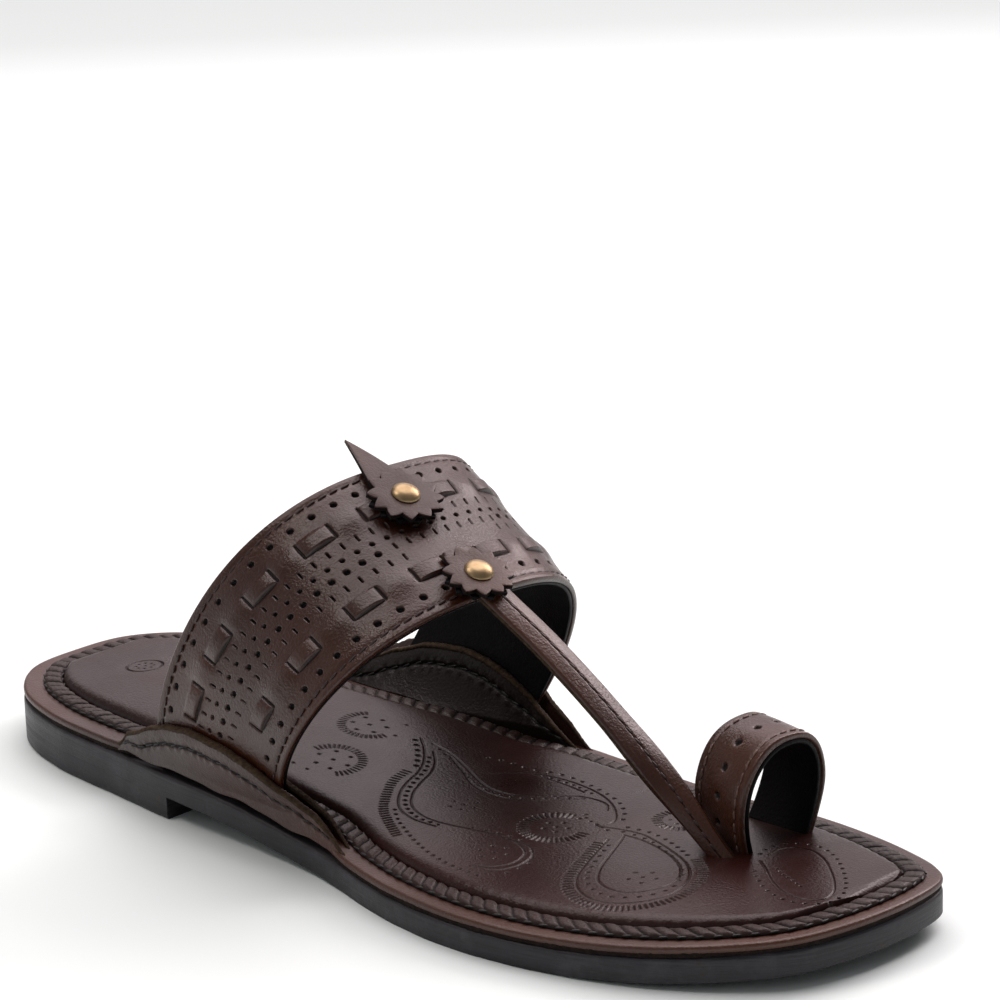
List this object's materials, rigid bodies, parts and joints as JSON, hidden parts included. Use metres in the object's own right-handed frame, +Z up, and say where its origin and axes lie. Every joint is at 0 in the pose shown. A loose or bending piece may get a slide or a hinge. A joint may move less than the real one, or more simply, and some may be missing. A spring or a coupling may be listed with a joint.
{
  "type": "kolhapuri sandal",
  "caption": "Open leather toe-loop sandal with a wide punched instep band, a slim thong strap, studded rosettes, a padded footbed and a low heeled sole.",
  "frame": {"origin": "middle of the bounding box, on the floor under the sole", "axes": "+X from heel to toe, +Y towards the big-toe side of a right foot, +Z up from the floor"},
  "size_m": [0.2806, 0.1024, 0.0963],
  "materials": {
    "sole_rubber": "painted black edge, satin, faintly brushed along its length",
    "top_sole_leather": "dark brown smooth leather with a rough cut edge",
    "braid_leather": "dark brown slanted braid with stitching on both sides",
    "footbed_leather": "polished dark brown padded leather with embossed motifs",
    "flap_leather": "dark brown gathered leather, raw top edge, one row of stitches",
    "upper_leather": "satin dark brown leather with punched holes, woven tabs and edge stitching",
    "trim_leather": "dark brown cut leather with black raw edges",
    "brass": "satin antique brass"
  },
  "bodies": {
    "root": {"heel_lift": "sole_rubber", "outsole": "sole_rubber", "top_sole": "top_sole_leather", "edge_braid": "braid_leather", "footbed": "footbed_leather", "upper": "upper_leather", "side_flap_lateral": "flap_leather", "side_flap_medial": "flap_leather", "rosette_back": "trim_leather", "rosette_front": "trim_leather", "spike_tab": "trim_leather", "rivet_back": "brass", "rivet_front": "brass"}
  },
  "joints": []
}
